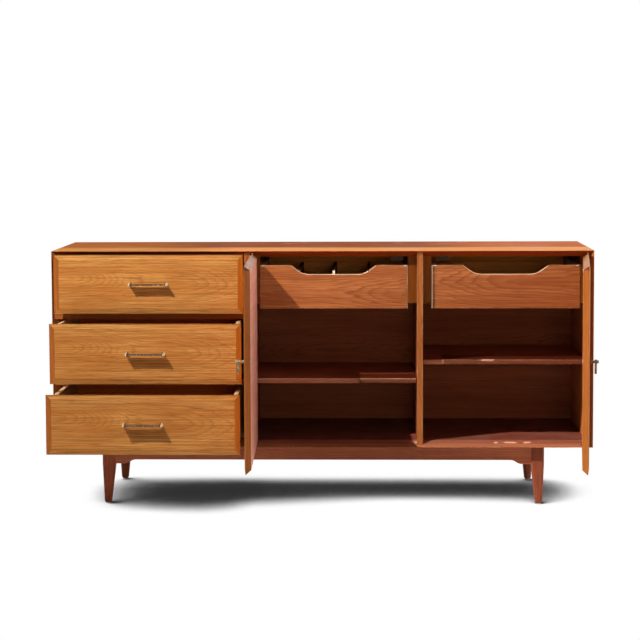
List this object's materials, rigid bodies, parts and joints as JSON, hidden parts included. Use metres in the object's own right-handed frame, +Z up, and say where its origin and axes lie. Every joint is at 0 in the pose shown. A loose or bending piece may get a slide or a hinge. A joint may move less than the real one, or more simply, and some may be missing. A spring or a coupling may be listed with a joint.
{
  "type": "dresser with drawers",
  "caption": "Long low walnut dresser on turned legs, with drawers beside two door bays that hold shallow pull-out trays over loose shelves.",
  "frame": {"origin": "on the floor at the bottom centre of the whole box, with the drawers and doors open as stored; the front edge of the case lies 21.75 mm behind it", "axes": "+X to the right along the front, +Y from the front to the back, +Z up"},
  "size_m": [1.676, 0.9433, 0.795],
  "materials": {
    "walnut": "oiled walnut, satin",
    "dark_walnut": "stained walnut, satin",
    "pale_wood": "raw pale hardwood",
    "back_ply": "stained plywood",
    "brass": "aged brass",
    "steel": "plain steel",
    "dark_plastic": "dark moulded catch"
  },
  "bodies": {
    "case": {"case_top": "walnut", "case_bottom": "walnut", "case_side_left": "walnut", "case_side_right": "walnut", "partition_left": "walnut", "partition_centre": "walnut", "back_panel": "back_ply", "drawer_rails": "walnut", "drawer_runners": "pale_wood", "tray_fillers": "walnut", "tray_runners": "pale_wood", "shelf_left": "walnut", "shelf_right": "walnut", "shelf_supports": "steel", "door_catches": "dark_plastic", "door_pivot_pins": "steel", "apron_front": "dark_walnut", "apron_rear": "dark_walnut", "aprons_side": "dark_walnut", "legs_front": "dark_walnut", "legs_rear": "dark_walnut", "corner_blocks": "pale_wood", "floor_glides": "steel"},
    "drawer_top": {"drawer_top_front": "walnut", "drawer_top_sides": "pale_wood", "drawer_top_back": "pale_wood", "drawer_top_floor": "pale_wood", "drawer_top_pull": "brass"},
    "drawer_middle": {"drawer_middle_front": "walnut", "drawer_middle_sides": "pale_wood", "drawer_middle_back": "pale_wood", "drawer_middle_floor": "pale_wood", "drawer_middle_pull": "brass"},
    "drawer_bottom": {"drawer_bottom_front": "walnut", "drawer_bottom_sides": "pale_wood", "drawer_bottom_back": "pale_wood", "drawer_bottom_floor": "pale_wood", "drawer_bottom_pull": "brass"},
    "door_left": {"door_left_panel": "walnut", "door_left_pivot_sleeves": "brass", "door_left_strike": "steel", "door_left_pull_post": "brass", "door_left_pull_screw": "steel"},
    "door_left_drop": {"door_left_pull_drop": "brass"},
    "door_right": {"door_right_panel": "walnut", "door_right_pivot_sleeves": "brass", "door_right_strike": "steel", "door_right_pull_post": "brass", "door_right_pull_screw": "steel"},
    "door_right_drop": {"door_right_pull_drop": "brass"},
    "tray_left": {"tray_left_front": "walnut", "tray_left_sides": "pale_wood", "tray_left_back": "pale_wood", "tray_left_floor": "pale_wood", "tray_left_dividers": "pale_wood"},
    "tray_right": {"tray_right_front": "walnut", "tray_right_sides": "pale_wood", "tray_right_back": "pale_wood", "tray_right_floor": "pale_wood"}
  },
  "joints": [
    {"name": "drawer_top_slide", "type": "slide", "parent": "case", "child": "drawer_top", "axis": [0, -1, 0], "range_m": [-0.033, 0.277]},
    {"name": "drawer_middle_slide", "type": "slide", "parent": "case", "child": "drawer_middle", "axis": [0, -1, 0], "range_m": [-0.121, 0.189]},
    {"name": "drawer_bottom_slide", "type": "slide", "parent": "case", "child": "drawer_bottom", "axis": [0, -1, 0], "range_m": [-0.195, 0.115]},
    {"name": "door_left_hinge", "type": "hinge", "parent": "case", "child": "door_left", "pos_m": [-0.2155, 0.03375, 0.489], "axis": [0, 0, -1], "range_deg": [-88.6, 1.4]},
    {"name": "door_left_drop_swing", "type": "hinge", "parent": "door_left", "child": "door_left_drop", "pos_m": [-0.22462, -0.43411, 0.511], "axis": [-0.9997, -0.0244, 0], "range_deg": [-50, 50]},
    {"name": "door_right_hinge", "type": "hinge", "parent": "case", "child": "door_right", "pos_m": [0.82, 0.03375, 0.489], "axis": [0, 0, 1], "range_deg": [-83.3, 6.7]},
    {"name": "door_right_drop_swing", "type": "hinge", "parent": "door_right", "child": "door_right_drop", "pos_m": [0.78587, -0.43295, 0.511], "axis": [0.9932, -0.1167, 0], "range_deg": [-50, 50]},
    {"name": "tray_left_slide", "type": "slide", "parent": "case", "child": "tray_left", "axis": [0, -1, 0], "range_m": [0, 0.235]},
    {"name": "tray_right_slide", "type": "slide", "parent": "case", "child": "tray_right", "axis": [0, -1, 0], "range_m": [0, 0.05]}
  ]
}
